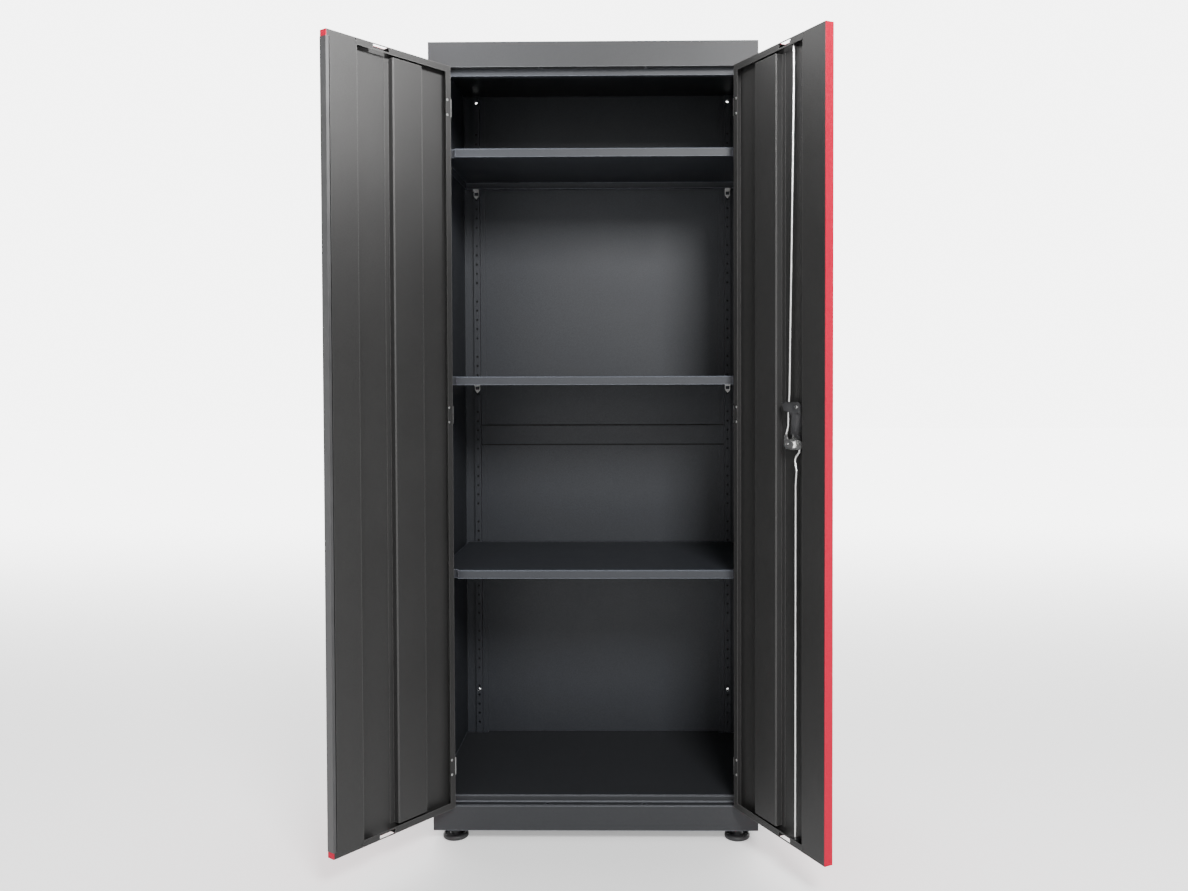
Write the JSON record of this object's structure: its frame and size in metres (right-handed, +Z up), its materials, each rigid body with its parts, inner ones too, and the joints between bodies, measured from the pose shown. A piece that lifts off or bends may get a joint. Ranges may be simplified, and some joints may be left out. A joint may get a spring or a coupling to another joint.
{
  "type": "two-door storage cabinet",
  "caption": "Tall steel storage cabinet with red-skinned double doors, adjustable shelves, a rod lock and levelling feet.",
  "frame": {"origin": "on the floor, under the middle of the carcass", "axes": "+X to the right seen from the front, +Y to the back, +Z up"},
  "size_m": [1.0457, 0.8021, 1.864],
  "materials": {
    "body_coat": "fine textured powder coat, dark grey",
    "inner_coat": "fine textured powder coat, dark grey",
    "door_red": "satin powder coat, red",
    "zinc": "bright zinc plate",
    "rod_zinc": "bright zinc-plated wire",
    "trim_black": "satin",
    "handle_black": "satin, moulded",
    "plug_chrome": "polished",
    "foot_rubber": "matt moulded nylon"
  },
  "bodies": {
    "carcass": {"side_left": "body_coat", "side_right": "body_coat", "rear_post_left": "body_coat", "rear_post_right": "body_coat", "top_cap": "body_coat", "stop_rail": "body_coat", "base_plinth": "body_coat", "base_rear_rail": "body_coat", "floor_pan": "body_coat", "back_lower": "body_coat", "back_upper": "body_coat", "back_band": "body_coat", "shelf_upper": "body_coat", "shelf_middle": "body_coat", "shelf_lower": "body_coat", "shelf_clips": "zinc", "foot_nuts": "zinc", "hinge_fixed_left": "zinc", "hinge_fixed_right": "zinc"},
    "left_door": {"door_skin_left": "door_red", "door_tray_left": "inner_coat", "door_stiffener_left": "inner_coat", "edge_trim": "trim_black", "hinge_leaf_left": "zinc", "hinge_screws_left": "zinc"},
    "right_door": {"door_skin_right": "door_red", "door_tray_right": "inner_coat", "door_stiffener_right": "inner_coat", "hinge_leaf_right": "zinc", "hinge_screws_right": "zinc", "lock_body": "handle_black", "lock_screw": "zinc", "rod_guides": "handle_black", "escutcheon": "handle_black"},
    "latch": {"handle": "handle_black", "spindle": "zinc", "cam": "zinc", "cam_nut": "zinc"},
    "plug": {"key_plug": "plug_chrome"},
    "upper_rod": {"rod_upper": "rod_zinc"},
    "lower_rod": {"rod_lower": "rod_zinc"},
    "foot_fl": {"foot_front_left": "foot_rubber"},
    "foot_fr": {"foot_front_right": "foot_rubber"},
    "foot_rl": {"foot_rear_left": "foot_rubber"},
    "foot_rr": {"foot_rear_right": "foot_rubber"}
  },
  "joints": [
    {"name": "left_door_hinge", "type": "hinge", "parent": "carcass", "child": "left_door", "pos_m": [-0.3435, -0.2465, 1.004], "axis": [0, 0, 1], "range_deg": [-40, 126.9]},
    {"name": "right_door_hinge", "type": "hinge", "parent": "carcass", "child": "right_door", "pos_m": [0.3435, -0.2465, 1.004], "axis": [0, 0, 1], "range_deg": [-118, 48]},
    {"name": "latch_turn", "type": "hinge", "parent": "right_door", "child": "latch", "pos_m": [0.45422, -0.44302, 0.946], "axis": [0.8829, 0.4695, 0], "range_deg": [-30, 30]},
    {"name": "plug_turn", "type": "hinge", "parent": "latch", "child": "plug", "pos_m": [0.45422, -0.44302, 0.946], "axis": [0.8829, 0.4695, 0], "range_deg": [0, 90]},
    {"name": "upper_rod_slide", "type": "slide", "parent": "right_door", "child": "upper_rod", "axis": [0, 0, 1], "range_m": [-0.01155, 0.01155]},
    {"name": "lower_rod_slide", "type": "slide", "parent": "right_door", "child": "lower_rod", "axis": [0, 0, -1], "range_m": [-0.01155, 0.01155]},
    {"name": "foot_fl_turn", "type": "hinge", "parent": "carcass", "child": "foot_fl", "pos_m": [-0.334, -0.21, 0.02], "axis": [0, 0, 1], "continuous": true},
    {"name": "foot_fr_turn", "type": "hinge", "parent": "carcass", "child": "foot_fr", "pos_m": [0.334, -0.21, 0.02], "axis": [0, 0, 1], "continuous": true},
    {"name": "foot_rl_turn", "type": "hinge", "parent": "carcass", "child": "foot_rl", "pos_m": [-0.334, 0.198, 0.02], "axis": [0, 0, 1], "continuous": true},
    {"name": "foot_rr_turn", "type": "hinge", "parent": "carcass", "child": "foot_rr", "pos_m": [0.334, 0.198, 0.02], "axis": [0, 0, 1], "continuous": true}
  ],
  "couplings": [
    {"joint": "upper_rod_slide", "follows": "latch_turn", "m_per_rad": 0.022053},
    {"joint": "lower_rod_slide", "follows": "latch_turn", "m_per_rad": 0.022053}
  ]
}
